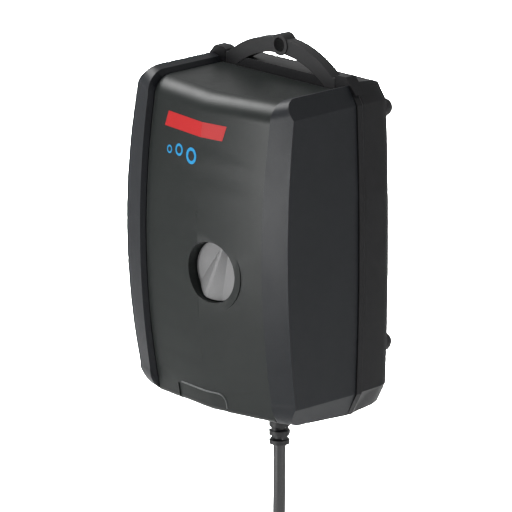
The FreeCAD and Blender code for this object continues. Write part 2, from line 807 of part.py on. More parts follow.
def make_knob():
    """A sunk round knob with a tapered pointer bar across it; the bar leans clockwise from upright."""
    disc = rod("knob_disc", d.knob_dia, d.knob_thick, (d.knob_right, knob_back_y, knob_z), "-y")
    body = new_body("grip")
    radius = d.knob_dia / 2
    lean = math.radians(24)
    ends = []
    for tag, along, base_half, top_half in (("tail", -1, 7.4, 0.9), ("point", 1, 1.7, 0.6)):
        sketch = sketch_on(body, f"grip_{tag}", "XY_Plane", radius * along)
        ends.append(outline(sketch, [
            (-as_size(base_half), knob_face_y + 0.5), (-as_size(base_half), knob_face_y),
            (-as_size(top_half), grip_top_y), (top_half, grip_top_y),
            (base_half, knob_face_y), (base_half, knob_face_y + 0.5),
        ]))
    loft(body, "grip_loft", ends)
    turned = doc.addObject("Part::Compound", "grip_turned")
    turned.Links = [body]
    place(turned, (d.knob_right, 0, knob_z), FreeCAD.Rotation(Vector(0, 1, 0), math.degrees(lean)))
    core = rod("grip_limit", d.knob_dia, 12, (d.knob_right, knob_back_y, knob_z), "-y")
    grip = common("grip_trimmed", turned, core)
    boss = rod("knob_boss", 9.0, 1.0, (d.knob_right, knob_back_y + 1.0, knob_z), "-y")
    bore = rod("knob_bore", d.spindle_dia, 4.2, (d.knob_right, knob_back_y + 1.0, knob_z), "-y")
    return cut("knob_cut", fuse("knob_body", disc, grip, boss), bore)


node("control_knob", make_knob())
throttle_front_y = well_floor_y + d.shell_wall
throttle_back_y = throttle_front_y + d.throttle_length
spindle_front_y = knob_back_y + 1.0 - 4.2
spindle = fuse(
    "spindle_body",
    rod("spindle_shaft", d.spindle_dia, throttle_front_y - spindle_front_y, (d.knob_right, spindle_front_y, knob_z), "+y"),
    rod("spindle_plug", d.plug_dia, d.throttle_length - 4, (d.knob_right, throttle_front_y, knob_z), "+y"),
)
stub_y = throttle_front_y + 7.0
metering_groove = cut(
    "metering_groove",
    rod("groove_outer", d.plug_dia + 2, 1.6, (d.knob_right, stub_y - 0.8, knob_z), "+y"),
    rod("groove_inner", d.plug_dia - 1.6, 1.6, (d.knob_right + 0.4, stub_y - 0.8, knob_z), "+y"),
)
seal_groove = cut(
    "seal_groove",
    rod("seal_outer", d.plug_dia + 2, 1.2, (d.knob_right, throttle_front_y + 2.2, knob_z), "+y"),
    rod("seal_inner", d.plug_dia - 1.9, 1.2, (d.knob_right, throttle_front_y + 2.2, knob_z), "+y"),
)
node("valve_spindle", cut("spindle_cut", spindle, metering_groove, seal_groove))
seal_wire = 0.46
node("spindle_seal", ring("spindle_o_ring", d.plug_dia / 2 - 0.9 + seal_wire, seal_wire,
                          (d.knob_right, throttle_front_y + 2.8, knob_z), "+y"))
stub_length = 5.0
hose_grip = 4.0
throttle = fuse(
    "throttle_solid",
    rod("throttle_barrel", d.throttle_dia, d.throttle_length, (d.knob_right, throttle_front_y, knob_z), "+y"),
    block("throttle_flange", (d.knob_right - 13, throttle_front_y, knob_z - 5), (d.knob_right + 13, throttle_front_y + 2.2, knob_z + 5)),
    rod("inlet_stub", d.barb_dia - 0.9, stub_length, (d.knob_right - d.throttle_dia / 2 + 0.5, stub_y, knob_z), "-x"),
    rod("outlet_stub", d.barb_dia - 0.9, stub_length, (d.knob_right, stub_y, knob_z - d.throttle_dia / 2 + 0.5), "-z"),
)
throttle_cut = cut(
    "throttle_cut", throttle,
    rod("throttle_bore", d.plug_dia + 2 * d.running_gap, d.throttle_length - 3.6, (d.knob_right, throttle_front_y - 0.1, knob_z), "+y"),
    rod("throttle_in", d.nipple_bore, 20, (d.knob_right - 2.4, stub_y, knob_z), "-x"),
    rod("throttle_out", d.nipple_bore, 20, (d.knob_right, stub_y, knob_z - 2.4), "-z"),
    *[rod(f"flange_hole_{i}", 2.5, 6, (d.knob_right + sign * 10.6, throttle_front_y - 1, knob_z), "+y")
      for i, sign in enumerate((-1, 1))],
)
node("throttle_body", throttle_cut)
node("throttle_screws", group("throttle_screw_set", [
    screw(f"throttle_screw_{i}", 2.2, 4.2, 4.4, (d.knob_right + sign * 10.6, throttle_front_y + 2.2, knob_z), "-y", 1.4)
    for i, sign in enumerate((-1, 1))
]))
cover_cut.Tool.Shapes = cover_cut.Tool.Shapes + [
    rod(f"throttle_pilot_{i}", 2.1, 3.0, (d.knob_right + sign * 10.6, throttle_front_y + 0.1, knob_z), "-y")
    for i, sign in enumerate((-1, 1))
]


# ---------------------------------------------------------------- hoses and air outlet
def tube_path(points):
    """Straight runs joined by tangent arcs; gives the wire and prints each arc's radius."""
    points = [Vector(*[as_size(value).value for value in point]) for point in points]
    edges = []
    radii = []
    start = points[0]
    for i in range(1, len(points) - 1):
        before = points[i] - points[i - 1]
        after = points[i + 1] - points[i]
        turn = before.getAngle(after)
        reach = 0.45 * min(before.Length, after.Length)
        radii.append(reach / math.tan(turn / 2))
        entry = points[i] - before.normalize() * reach
        leave = points[i] + after.normalize() * reach
        centre_way = (leave - points[i]).normalize() + (entry - points[i]).normalize()
        centre = points[i] + centre_way.normalize() * math.hypot(radii[-1], reach)
        nearest = centre + (points[i] - centre).normalize() * radii[-1]
        edges.append(Part.LineSegment(start, entry).toShape())
        edges.append(Part.Arc(entry, nearest, leave).toShape())
        start = leave
    edges.append(Part.LineSegment(start, points[-1]).toShape())
    return Part.Wire(edges), radii


def tube(name, points, outer, inner=None):
    """A hose or cord along the path; its volume is held against section times length."""
    path, radii = tube_path(points)
    first = path.Edges[0]
    facing = first.tangentAt(first.FirstParameter)
    shape = None
    for dia in (outer, inner):
        if dia is None:
            continue
        circle = Part.Circle(path.Edges[0].Vertexes[0].Point, facing, as_size(dia).value / 2)
        swept = path.makePipeShell([Part.Wire(circle.toShape())], True, False)
        expected = math.pi * (as_size(dia).value / 2) ** 2 * path.Length
        if abs(swept.Volume - expected) > 0.01 * expected:
            raise ValueError(f"{name}: tube volume {swept.Volume:.1f}, section times length {expected:.1f}")
        shape = swept if shape is None else shape.cut(swept)
    made = doc.addObject("Part::Feature", name)
    made.Shape = shape
    print(f"{name}: length {path.Length:.0f} mm, arc radii", ", ".join(f"{radius:.1f}" for radius in radii))
    return made


block_nipple_x = pump_block_x - d.block_width + 5
block_nipple_long = 5.0
block_front_y = mech_y - d.block_size / 2
nipple_z = block_z - 4
in_stub_end_x = d.knob_right - d.throttle_dia / 2 + 0.5 - stub_length
node("pump_hose", tube("pump_hose_tube", [
    (block_nipple_x, block_front_y - block_nipple_long + hose_grip, nipple_z),
    (block_nipple_x, stub_y, nipple_z),
    (block_nipple_x, stub_y, knob_z),
    (in_stub_end_x + hose_grip, stub_y, knob_z),
], d.hose_outer, d.hose_inner))
out_stub_end_z = knob_z - d.throttle_dia / 2 + 0.5 - stub_length
nipple_top_z = nipple_seat_z + d.shell_wall + 5
node("outlet_hose", tube("outlet_hose_tube", [
    (d.knob_right, stub_y, out_stub_end_z + hose_grip),
    (d.knob_right, stub_y, out_stub_end_z - 7),
    (-d.outlet_left, -d.outlet_back, nipple_top_z + 7),
    (-d.outlet_left, -d.outlet_back, nipple_top_z - hose_grip),
], d.hose_outer, d.hose_inner))
nipple_end_z = bottom_z - 0.6
nipple = fuse(
    "nipple_solid",
    rod("nipple_upper", d.hose_inner, 5, (-d.outlet_left, -d.outlet_back, nipple_seat_z + d.shell_wall)),
    rod("nipple_neck", d.barb_dia + 1.1, d.shell_wall, (-d.outlet_left, -d.outlet_back, nipple_seat_z)),
    rod("nipple_lower", d.hose_inner, nipple_seat_z - nipple_end_z - 1, (-d.outlet_left, -d.outlet_back, nipple_end_z + 1)),
    taper("nipple_lead_in", d.hose_inner - 0.8, d.hose_inner, 1, (-d.outlet_left, -d.outlet_back, nipple_end_z)),
)
node("outlet_nipple", cut("nipple_cut", nipple, rod("nipple_way", d.nipple_bore, 40,
     (-d.outlet_left, -d.outlet_back, nipple_end_z - 5))))

# ---------------------------------------------------------------- pump block, valves and bellows
block_low = (pump_block_x - d.block_width, block_front_y, block_z - d.block_size / 2)
block_high = (pump_block_x, block_back_y, block_z + d.block_size / 2)
chamber_half = d.block_size / 2 - 4
port_in_z = block_z + 6
port_out_z = block_z - 6
port_dia = 5.0
pump_parts = cut(
    "pump_block_cut",
    fuse("pump_block_solid", block("pump_block_box", block_low, block_high),
         rod("block_nipple", d.hose_inner, block_nipple_long, (block_nipple_x, block_front_y, nipple_z), "-y")),
    block("inlet_chamber", (block_low[0] + 3, mech_y - chamber_half, block_z + 1.5),
          (block_high[0] + 1, mech_y + chamber_half, block_z + chamber_half)),
    block("outlet_chamber", (block_low[0] + 3, mech_y - chamber_half, block_z - chamber_half),
          (block_high[0] + 1, mech_y + chamber_half, block_z - 1.5)),
    rod("inlet_mouth", 6.0, 12, (block_nipple_x, mech_y, block_z + d.block_size / 2 + 1), "-z"),
    rod("block_way", d.nipple_bore, 20, (block_nipple_x, block_front_y + 6, nipple_z), "-y"),
    *[rod(f"block_pilot_{i}", 2.1, 9, (pump_block_x + 1, mech_y + sy * 12.4, block_z + sz * 12.4), "-x")
      for i, (sy, sz) in enumerate(((-1, -1), (-1, 1), (1, -1), (1, 1)))],
    *[rod(f"block_seat_{i}", 2.4, 7, (block_nipple_x, block_back_y + 0.5, z), "-y")
      for i, z in enumerate((block_z - 9, block_z + 9))],
)
node("pump_block", pump_parts)
plate_x = pump_block_x
corner_spots = [(mech_y + sy * 12.4, block_z + sz * 12.4) for sy in (-1, 1) for sz in (-1, 1)]
plate = cut(
    "valve_plate_cut",
    block("valve_plate_box", (plate_x, block_front_y, block_low[2]), (plate_x + d.plate_thick, block_back_y, block_high[2])),
    rod("port_in", port_dia, 10, (plate_x - 1, mech_y, port_in_z), "+x"),
    rod("port_out", port_dia, 10, (plate_x - 1, mech_y, port_out_z), "+x"),
    *[rod(f"plate_hole_{i}", 2.8, 10, (plate_x - 1, y, z), "+x") for i, (y, z) in enumerate(corner_spots)],
)
node("valve_plate", plate)
bellows_x = plate_x + d.plate_thick
flap_thick = 0.6


flap_reach = 3.6
flap_half = 3.1


def flap(name, x, port_z):
    """A thin rubber tongue over one port; it lifts about its upper edge."""
    return block(name, (x, mech_y - flap_half, port_z - flap_reach),
                 (x + flap_thick, mech_y + flap_half, port_z + flap_reach))


node("inlet_flap", flap("inlet_tongue", bellows_x, port_in_z))
node("outlet_flap", flap("outlet_tongue", plate_x - flap_thick, port_out_z))
bellows_end_x = bellows_x + d.bellows_length


def make_bellows():
    """A thin rubber cup with two folds, a flange at the plate and a nose at the arm."""
    body = new_body("bellows_form")
    sketch = sketch_on(body, "bellows_profile", "XY_Plane", 0)
    radius = d.bellows_dia / 2
    wall = d.bellows_wall
    corners = [
        (bellows_x, radius + 3.4), (bellows_x + 1.4, radius + 3.4), (bellows_x + 1.4, radius),
        (bellows_x + 3.6, radius), (bellows_x + 4.8, radius - 2.6), (bellows_x + 6.0, radius),
        (bellows_x + 8.2, radius), (bellows_x + 10.2, 5.5), (bellows_end_x, 5.5),
        (bellows_end_x, 1.3), (bellows_end_x - 3.4, 1.3), (bellows_end_x - 3.4, 3.4),
        (bellows_x + 7.4, radius - wall), (bellows_x + 6.4, radius - wall),
        (bellows_x + 4.8, radius - 2.6 - wall * 1.4), (bellows_x + 3.2, radius - wall),
        (bellows_x, radius - wall),
    ]
    outline(sketch, corners)
    turned = body.newObject("PartDesign::Revolution", "bellows_turn")
    turned.Profile = sketch
    turned.ReferenceAxis = (sketch, ["H_Axis"])
    turned.Angle = 360
    moved = doc.addObject("Part::Compound", "bellows_moved")
    moved.Links = [body]
    return place(moved, (0, mech_y, block_z))


node("bellows", make_bellows())
clamp = cut(
    "clamp_cut",
    block("clamp_box", (bellows_x, block_front_y, block_low[2]), (bellows_x + 3.0, block_back_y, block_high[2])),
    rod("clamp_window", d.bellows_dia + 0.8, 10, (bellows_x - 1, mech_y, block_z), "+x"),
    rod("clamp_seat", d.bellows_dia + 7.2, 2.4, (bellows_x - 1, mech_y, block_z), "+x"),
    *[rod(f"clamp_hole_{i}", 2.8, 10, (bellows_x - 1, y, z), "+x") for i, (y, z) in enumerate(corner_spots)],
)
node("bellows_clamp", clamp)
node("block_screws", group("block_screw_set", [
    screw(f"block_screw_{i}", 2.2, 4.0, 13.0, (bellows_x + 3.0, y, z), "-x", 1.4)
    for i, (y, z) in enumerate(corner_spots)
]))

# ---------------------------------------------------------------- swing arm
arm_low_x = arm_x - d.arm_thick / 2
core_top_z = core_bottom_z + d.core_high
magnet_low_z = core_top_z + d.core_gap
magnet_top_z = magnet_low_z + d.magnet_high
arm_hub = 7.6
arm = cut(
    "arm_cut",
    fuse("arm_solid",
         block("arm_bar", (arm_low_x, mech_y - d.arm_width / 2, magnet_top_z - 3),
               (arm_low_x + d.arm_thick, mech_y + d.arm_width / 2, pivot_z)),
         rod("arm_hub", arm_hub, d.arm_width, (arm_x, mech_y - d.arm_width / 2, pivot_z), "+y"),
         block("magnet_cup", (arm_x - d.magnet_length / 2 - 1.4, mech_y - d.arm_width / 2, magnet_top_z - 4),
               (arm_x + d.magnet_length / 2 + 1.4, mech_y + d.arm_width / 2, magnet_top_z + 1.6))),
    block("magnet_seat", (arm_x - d.magnet_length / 2, mech_y - d.arm_width, magnet_low_z - 1),
          (arm_x + d.magnet_length / 2, mech_y + d.arm_width, magnet_top_z)),
    rod("bush_hole", 5.6, d.arm_width + 4, (arm_x, mech_y - d.arm_width / 2 - 2, pivot_z), "+y"),
    rod("nose_hole", 2.6, 8, (arm_x - 4, mech_y, block_z), "+x"),
)
node("swing_arm", arm)
node("arm_magnet", block("magnet_block", (arm_x - d.magnet_length / 2, mech_y - d.arm_width / 2 - 1, magnet_low_z),
                         (arm_x + d.magnet_length / 2, mech_y + d.arm_width / 2 + 1, magnet_top_z)))
node("arm_bush", cut(
    "bush_cut",
    rod("bush_outer", 5.6, d.arm_width, (arm_x, mech_y - d.arm_width / 2, pivot_z), "+y"),
    rod("bush_bore", d.pivot_dia + 2 * d.running_gap, d.arm_width + 2, (arm_x, mech_y - d.arm_width / 2 - 1, pivot_z), "+y"),
))
node("bellows_screw", screw("nose_screw", 2.4, 5.0, 6.0, (arm_low_x + d.arm_thick, mech_y, block_z), "-x", 1.6))
bracket_front_y = mech_y - d.arm_width / 2 - 1.2 - bracket_thick
node("pivot_pin", rod("pivot_rod", d.pivot_dia, bracket_y + bracket_thick - bracket_front_y,
                      (arm_x, bracket_front_y, pivot_z), "+y"))
bracket = cut(
    "bracket_cut",
    fuse("bracket_solid",
         block("bracket_back", (arm_x - 12.2, bracket_y, pivot_z - 3.5), (arm_x + 12.2, bracket_y + bracket_thick, pivot_z + 7.5)),
         block("bracket_front", (arm_x - 4.5, bracket_front_y, pivot_z - 3.5), (arm_x + 4.5, bracket_front_y + bracket_thick, pivot_z + 7.5)),
         block("bracket_roof", (arm_x - 4.5, bracket_front_y, pivot_z + 5.1), (arm_x + 4.5, bracket_y + bracket_thick, pivot_z + 7.5))),
    rod("bracket_bore", d.pivot_dia, 40, (arm_x, bracket_front_y - 2, pivot_z), "+y"),
    *[rod(f"bracket_hole_{i}", 3.0, 8, (x, bracket_y - 1, z), "+y") for i, (x, z) in enumerate(bracket_post_spots)],
)
node("pivot_bracket", bracket)
node("bracket_screws", group("bracket_screw_set", [
    screw(f"bracket_screw_{i}", 2.5, 4.6, 8.0, (x, bracket_y, z), "+y", 1.5)
    for i, (x, z) in enumerate(bracket_post_spots)
]))

# ---------------------------------------------------------------- electromagnet
window_width = (d.core_width - 3 * d.leg_width) / 2
core_tools = [
    block(f"core_window_{i}", (core_left_x + d.leg_width + i * (d.leg_width + window_width), core_front_y - 1,
                               core_bottom_z + d.leg_width),
          (core_left_x + d.leg_width + window_width + i * (d.leg_width + window_width), core_back_y + 1, core_top_z + 1))
    for i in range(2)
]
core_tools += [
    rod(f"core_hole_{i}", d.screw_dia + 0.3, d.core_thick + 4, (x, core_front_y - 2, z), "+y")
    for i, (x, z) in enumerate(core_screw_spots)
]
core = cut("core_cut", block("core_box", (core_left_x, core_front_y, core_bottom_z),
                             (core_right_x, core_back_y, core_top_z)), *core_tools)
node("core_laminations", core)
bobbin_low_z = core_bottom_z + d.leg_width + 0.2
bobbin_top_z = core_top_z - 1.0
tube_half_x = d.leg_width / 2 + 1.0
tube_half_y = d.core_thick / 2 + 1.0
coil_build = window_width - 1.6
bobbin = cut(
    "bobbin_cut",
    fuse("bobbin_solid",
         block("bobbin_tube", (arm_x - tube_half_x, mech_y - tube_half_y, bobbin_low_z),
               (arm_x + tube_half_x, mech_y + tube_half_y, bobbin_top_z)),
         *[block(f"bobbin_flange_{i}", (arm_x - tube_half_x - coil_build, mech_y - tube_half_y - coil_build, z),
                 (arm_x + tube_half_x + coil_build, mech_y + tube_half_y + coil_build, z + 1.2))
           for i, z in enumerate((bobbin_low_z, bobbin_top_z - 1.2))]),
    block("bobbin_bore", (arm_x - d.leg_width / 2 - 0.1, core_front_y - 0.1, bobbin_low_z - 1),
          (arm_x + d.leg_width / 2 + 0.1, core_back_y + 0.1, bobbin_top_z + 1)),
)
node("coil_bobbin", bobbin)


def make_winding():
    """The copper winding: a rounded block round the bobbin's tube."""
    build = coil_build - 0.5
    outer = block("winding_outer", (arm_x - tube_half_x - build, mech_y - tube_half_y - build, bobbin_low_z + 1.2),
                  (arm_x + tube_half_x + build, mech_y + tube_half_y + build, bobbin_top_z - 1.2))
    upright = rounded("winding_rounded", outer, 3.5, lambda edge, centre: edge.BoundBox.ZLength > 5)
    inner = block("winding_inner", (arm_x - tube_half_x, mech_y - tube_half_y, bobbin_low_z),
                  (arm_x + tube_half_x, mech_y + tube_half_y, bobbin_top_z))
    return cut("winding_cut", upright, inner)


node("coil_winding", make_winding())
node("core_screws", group("core_screw_set", [
    screw(f"core_screw_{i}", d.screw_dia, d.screw_head, d.core_thick + 7, (x, core_front_y, z), "+y")
    for i, (x, z) in enumerate(core_screw_spots)
]))

# ---------------------------------------------------------------- air filter
cover_thick = 1.6
slats = [
    block(f"filter_slot_{i}", (-d.filter_left - d.filter_width * 0.36, back_y - 4, -d.filter_drop - 7.5 + i * 3.0),
          (-d.filter_left + d.filter_width * 0.36, back_y + 4, -d.filter_drop - 6.0 + i * 3.0))
    for i in range(6) if i != 5
]
filter_lid = cut(
    "filter_lid",
    block("filter_plate", (filter_low[0] + 0.2, back_y - cover_thick, filter_low[1] + 0.2),
          (filter_high[0] - 0.2, back_y, filter_high[1] - 0.2)),
    *slats,
)
node("filter_cover", filter_lid)
node("filter_felt", block("felt_pad", (filter_low[0] + 0.3, back_y - cover_thick - d.felt_thick, filter_low[1] + 0.3),
                          (filter_high[0] - 0.3, back_y - cover_thick, filter_high[1] - 0.3)))

# ---------------------------------------------------------------- mains lead inside the housing


def make_relief():
    """A ribbed rubber sleeve moulded on the lead, held in the split bottom wall by a groove."""
    neck = d.relief_dia - 1.7
    parts = [
        rod("relief_flange", d.relief_dia + 3.0, 3.0, (0, seam_y, bottom_z + d.shell_wall + 1.2)),
        rod("relief_neck", neck, d.shell_wall + 1.6, (0, seam_y, bottom_z - 0.3)),
        taper("relief_tail", neck - 0.6, d.relief_dia - 3.2, d.relief_length, (0, seam_y, bottom_z), "-z"),
    ]
    rib_count = 5
    for i in range(rib_count):
        low_z = bottom_z - 0.3 - (i + 1) * (d.relief_length / rib_count) + 1.4
        rib = d.relief_dia - i * 0.1
        parts.append(rod(f"relief_rib_{i}", rib, d.relief_length / rib_count - 1.4, (0, seam_y, low_z)))
    way = rod("relief_way", d.lead_dia, 60, (0, seam_y, bottom_z - 40))
    return cut("relief_cut", fuse("relief_solid", *parts), way)


node("strain_relief", make_relief())
lead_inner_z = bottom_z + 15
clamp_z = bottom_z + 10
clamp_half = 9.0
saddle = cut(
    "saddle_cut",
    block("saddle_bar", (-clamp_half, seam_y - d.lead_dia / 2 - 2.0, clamp_z - 2.5), (clamp_half, seam_y + 0.4, clamp_z + 2.5)),
    rod("saddle_groove", d.lead_dia, 10, (0, seam_y, clamp_z - 5)),
    *[rod(f"saddle_hole_{i}", 2.8, 12, (sign * 6.2, seam_y - 8, clamp_z), "+y") for i, sign in enumerate((-1, 1))],
)
node("cord_clamp", saddle)
node("clamp_screws", group("clamp_screw_set", [
    screw(f"clamp_screw_{i}", 2.5, 4.6, 11.0, (sign * 6.2, seam_y - d.lead_dia / 2 - 2.0, clamp_z), "+y", 1.5)
    for i, sign in enumerate((-1, 1))
]))
clamp_base = common("clamp_base_in", block("clamp_base", (-clamp_half, seam_y + 0.4, clamp_z - 2.5), (clamp_half, back_y - 1, clamp_z + 2.5)),
                    rear_outside)
rear_housing.Base.Shapes = rear_housing.Base.Shapes + [clamp_base]
rear_housing.Tool.Shapes = rear_housing.Tool.Shapes + [
    rod("clamp_groove_rear", d.lead_dia, 8, (0, seam_y, clamp_z - 4)),
    *[rod(f"clamp_pilot_{i}", 2.4, 9, (sign * 6.2, seam_y - 1, clamp_z), "+y") for i, sign in enumerate((-1, 1))],
]
wire_dia = 1.6
terminal_z = bobbin_low_z + 0.6
wire_end_x = arm_x - tube_half_x - coil_build
node("lead_wires", group("lead_wire_pair", [
    tube(f"lead_wire_{i}", [
        (-1.6 + i * 2.0, seam_y - 0.6, lead_inner_z),
        (-3.4 + i * 2.0, seam_y - 3.5, lead_inner_z + 3.5),
        (-4.6 + i * 2.0, seam_y - 14.5, lead_inner_z + 9),
        (wire_end_x - 6, mech_y - 14 + i * 3, terminal_z - 1),
        (wire_end_x + 0.4, mech_y - 14 + i * 3, terminal_z),
    ], wire_dia)
    for i in range(2)
]))

# ---------------------------------------------------------------- mains lead outside the housing
coil_z = bottom_z - d.coil_drop
coil_thick = 11.4
coil_deep = 17.0
tail_y = seam_y + 5.3
node("mains_lead", tube("mains_lead_tube", [
    (0, seam_y, lead_inner_z),
    (0, seam_y, bottom_z - 63),
    (-8, seam_y, bottom_z - 93),
    (-24, seam_y, bottom_z - 110),
], d.lead_dia))
plug_top_z = bottom_z - 186
node("lead_tail", tube("lead_tail_tube", [
    (-29.5, tail_y, bottom_z - 138),
    (-31.5, tail_y, bottom_z - 163),
    (-31, tail_y, plug_top_z),
], d.lead_dia))


def make_coil():
    """The put-away length of the lead: a neat round coil that hangs on edge."""
    start_y = seam_y - coil_deep / 2
    outer = rod("coil_outer", 2 * d.coil_radius + coil_thick, coil_deep, (0, start_y, coil_z), "+y")
    inner = rod("coil_inner", 2 * d.coil_radius - coil_thick, coil_deep + 2, (0, start_y - 1, coil_z), "+y")
    return rounded("coil_rounded", cut("coil_ring", outer, inner), 3.0,
                   lambda edge, centre: edge.BoundBox.YLength < 1)


node("lead_coil", make_coil())
tie_gap = 0.5
tie_wall = 0.9
tie_half = coil_thick / 2 + tie_gap
tie_deep = coil_deep / 2 + tie_gap
node("coil_tie", cut(
    "tie_cut",
    block("tie_outer", (d.coil_radius - tie_half - tie_wall, seam_y - tie_deep - tie_wall, coil_z - 3.5),
          (d.coil_radius + tie_half + tie_wall, seam_y + tie_deep + tie_wall, coil_z + 3.5)),
    block("tie_inner", (d.coil_radius - tie_half, seam_y - tie_deep, coil_z - 5),
          (d.coil_radius + tie_half, seam_y + tie_deep, coil_z + 5)),
))


def plug_section(z, width, thick):
    """A flat oval across the plug: two straight sides and two half-round ends."""
    x = -31.0
    y = tail_y.value
    z = as_size(z).value
    radius = as_size(thick).value / 2
    flat = max(as_size(width).value / 2 - radius, 0.2)

    def at(u, v):
        return Vector(x + u, y + v, z)

    return Part.Wire([
        Part.LineSegment(at(-flat, -radius), at(flat, -radius)).toShape(),
        Part.Arc(at(flat, -radius), at(flat + radius, 0), at(flat, radius)).toShape(),
        Part.LineSegment(at(flat, radius), at(-flat, radius)).toShape(),
        Part.Arc(at(-flat, radius), at(-flat - radius, 0), at(-flat, -radius)).toShape(),
    ])


def make_plug():
    """A flat two-pin plug whose body narrows towards the lead."""
    made = doc.addObject("Part::Feature", "plug_form")
    length = d.plug_length
    made.Shape = Part.makeLoft([
        plug_section(plug_top_z, 9.0, 8.6),
        plug_section(plug_top_z - length * 0.25, 11.5, 10.0),
        plug_section(plug_top_z - length * 0.60, d.plug_width * 0.72, d.plug_thick * 0.93),
        plug_section(plug_top_z - length * 0.86, d.plug_width, d.plug_thick),
        plug_section(plug_top_z - length, d.plug_width, d.plug_thick),
    ], True, False)
    return cut("plug_cut", made, *[
        rod(f"pin_seat_{i}", d.pin_root, 9, (-31 + sign * d.pin_spacing / 2, tail_y, plug_top_z - length + 8), "-z")
        for i, sign in enumerate((-1, 1))
    ])


node("plug_body", make_plug())


def plug_pin(i, sign):
    """One round contact pin with a domed tip; its thinner root is let 8 mm into the plug's body."""
    at = (-31 + sign * d.pin_spacing / 2, tail_y)
    face_z = plug_top_z - d.plug_length
    straight = d.pin_length - d.pin_dia / 2
    return fuse(f"pin_{i}", rod(f"pin_bar_{i}", d.pin_dia, straight, (*at, face_z), "-z"),
                rod(f"pin_root_{i}", d.pin_root, 8, (*at, face_z)),
                ball(f"pin_tip_{i}", d.pin_dia / 2, (*at, face_z - straight)))


node("plug_pins", group("pin_pair", [plug_pin(i, sign) for i, sign in enumerate((-1, 1))]))

# ---------------------------------------------------------------- checks and export
doc.recompute()
failed = [made.Name for made in doc.Objects if "Invalid" in made.State or "Error" in made.State]
if failed:
    raise ValueError("objects that did not compute: " + ", ".join(failed))
for name, made in NODES.items():
    if made.Shape.isNull() or not made.Shape.isValid() or not made.Shape.Solids:
        raise ValueError(f"{name} has no valid solid")
os.makedirs("parts", exist_ok=True)
for name, made in NODES.items():
    made.Shape.exportStep(f"parts/{name}.step")
print(len(NODES), "nodes")
for name, made in NODES.items():
    print(f"{name}: {len(made.Shape.Solids)} solid(s), {made.Shape.Volume:.0f} mm3")
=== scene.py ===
import math

import bmesh
import bpy
import numpy as np
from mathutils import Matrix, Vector


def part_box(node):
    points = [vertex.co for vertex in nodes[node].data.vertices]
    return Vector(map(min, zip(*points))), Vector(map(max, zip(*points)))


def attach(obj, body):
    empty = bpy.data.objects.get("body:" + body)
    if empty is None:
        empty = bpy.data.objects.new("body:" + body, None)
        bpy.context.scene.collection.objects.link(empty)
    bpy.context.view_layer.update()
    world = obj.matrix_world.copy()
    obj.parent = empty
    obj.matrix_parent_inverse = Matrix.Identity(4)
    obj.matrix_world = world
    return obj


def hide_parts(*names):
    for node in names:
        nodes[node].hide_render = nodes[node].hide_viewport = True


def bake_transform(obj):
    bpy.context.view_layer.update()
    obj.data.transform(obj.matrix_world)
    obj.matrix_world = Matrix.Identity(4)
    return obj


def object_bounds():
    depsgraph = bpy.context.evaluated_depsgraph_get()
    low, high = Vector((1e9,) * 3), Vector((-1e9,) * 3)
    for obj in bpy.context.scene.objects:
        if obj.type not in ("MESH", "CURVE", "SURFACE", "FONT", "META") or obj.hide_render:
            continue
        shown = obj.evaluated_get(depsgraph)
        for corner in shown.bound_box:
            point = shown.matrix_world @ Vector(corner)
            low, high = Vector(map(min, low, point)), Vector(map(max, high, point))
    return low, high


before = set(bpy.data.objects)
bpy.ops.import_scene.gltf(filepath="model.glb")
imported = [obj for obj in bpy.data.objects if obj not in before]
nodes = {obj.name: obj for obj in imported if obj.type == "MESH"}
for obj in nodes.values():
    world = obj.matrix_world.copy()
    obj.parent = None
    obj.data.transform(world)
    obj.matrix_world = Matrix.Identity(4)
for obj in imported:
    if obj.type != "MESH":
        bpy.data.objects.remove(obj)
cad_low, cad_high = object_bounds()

collection = bpy.context.scene.collection

# ---------------------------------------------------------------- camera
# A long lens four metres away, in front of the pump's right-hand corner and above it,
# looking down a little.
cover_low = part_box("front_cover")[0]
rear_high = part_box("rear_housing")[1]
housing_middle = Vector((0, (cover_low[1] + rear_high[1]) / 2, (cover_low[2] + rear_high[2]) / 2))
look_at = Vector((-0.006, -0.0102, -0.089))
azimuth = math.radians(46.5)
elevation = math.radians(15)
view_angle = math.radians(3.006)
view_distance = 4.0
view_back = Vector((math.sin(azimuth) * math.cos(elevation),
                    -math.cos(azimuth) * math.cos(elevation),
                    math.sin(elevation)))
camera_data = bpy.data.cameras.new("camera")
camera_data.sensor_width = 36
camera_data.lens = 18 / math.tan(view_angle / 2)
camera_data.clip_start = 0.1
camera_data.clip_end = 100
camera = bpy.data.objects.new("camera", camera_data)
camera.location = look_at + view_back * view_distance
camera.rotation_mode = "QUATERNION"
camera.rotation_quaternion = (-view_back).to_track_quat("-Z", "Y")
collection.objects.link(camera)
bpy.context.scene.camera = camera

# ---------------------------------------------------------------- floor and light
# A plain white table under the hanging pump, soft boxes in front, at the right and over its
# left shoulder, a lamp over the table behind it, and an even pale room.
floor_mesh = bpy.data.meshes.new("floor")
floor_z = cad_low[2] - 0.001
floor_reach = 9
floor_mesh.from_pydata([(-floor_reach, -floor_reach, floor_z), (floor_reach, -floor_reach, floor_z),
                        (floor_reach, floor_reach, floor_z), (-floor_reach, floor_reach, floor_z)],
                       [], [(0, 1, 2, 3)])
floor = bpy.data.objects.new("floor", floor_mesh)
collection.objects.link(floor)
floor_paint = bpy.data.materials.new("floor_paint")
floor_paint.use_nodes = True
floor_shader = floor_paint.node_tree.nodes["Principled BSDF"]
floor_shader.inputs["Base Color"].default_value = (0.95, 0.95, 0.95, 1)
floor_shader.inputs["Roughness"].default_value = 0.9
floor_mesh.materials.append(floor_paint)

world = bpy.data.worlds.new("room")
world.use_nodes = True
room_light = world.node_tree.nodes["Background"]
room_light.inputs["Color"].default_value = (1, 1, 1, 1)
room_light.inputs["Strength"].default_value = 0.5
bpy.context.scene.world = world
bpy.context.scene.view_settings.view_transform = "Standard"


